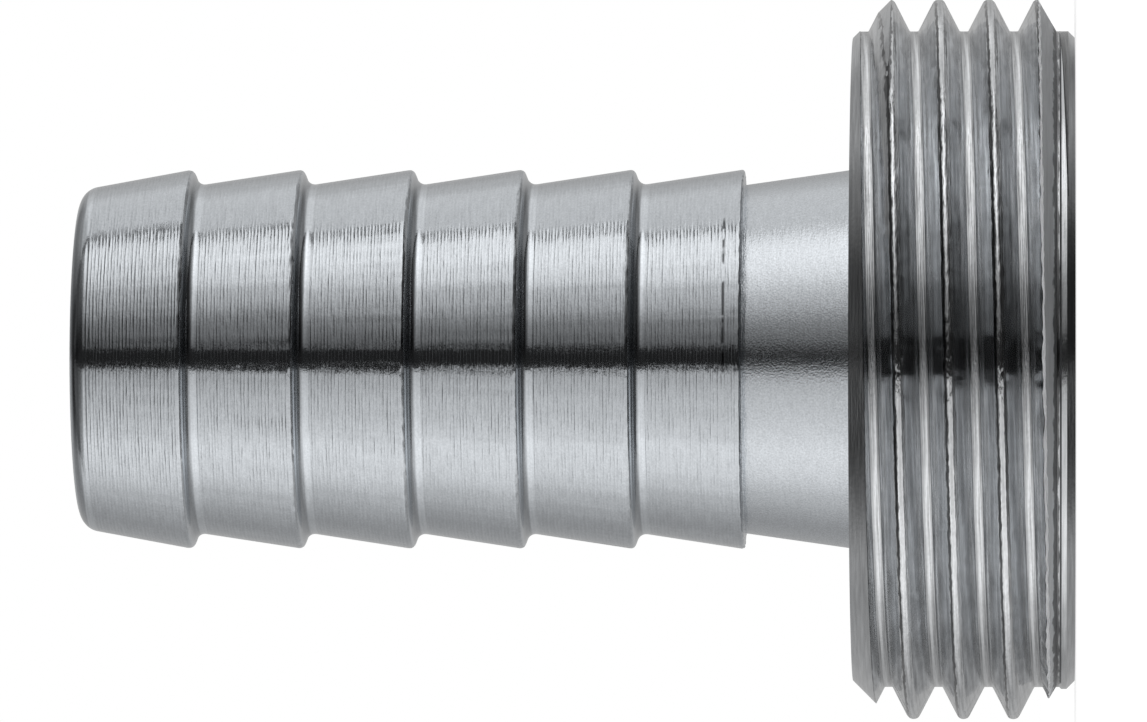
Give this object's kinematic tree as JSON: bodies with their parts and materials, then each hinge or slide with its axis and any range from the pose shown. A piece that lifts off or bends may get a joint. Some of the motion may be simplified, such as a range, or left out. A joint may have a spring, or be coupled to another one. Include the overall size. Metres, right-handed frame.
{
  "type": "hose barb tail",
  "caption": "Turned steel hose tail: a barbed stem with a conical neck rising from a collar with a coarse external pipe thread, bored right through.",
  "frame": {"origin": "centre of the threaded end face, which the fitting stands on", "axes": "+Z along the axis of the fitting towards the barbed tip, +X through the point where the lowest whole thread crest is 1.306 mm above the end face"},
  "size_m": [0.0262, 0.0262, 0.0362],
  "materials": {
    "turned_steel": "bright turned, with fine tool marks round the axis"
  },
  "bodies": {
    "root": {"hose_barb_tail": "turned_steel"}
  },
  "joints": []
}
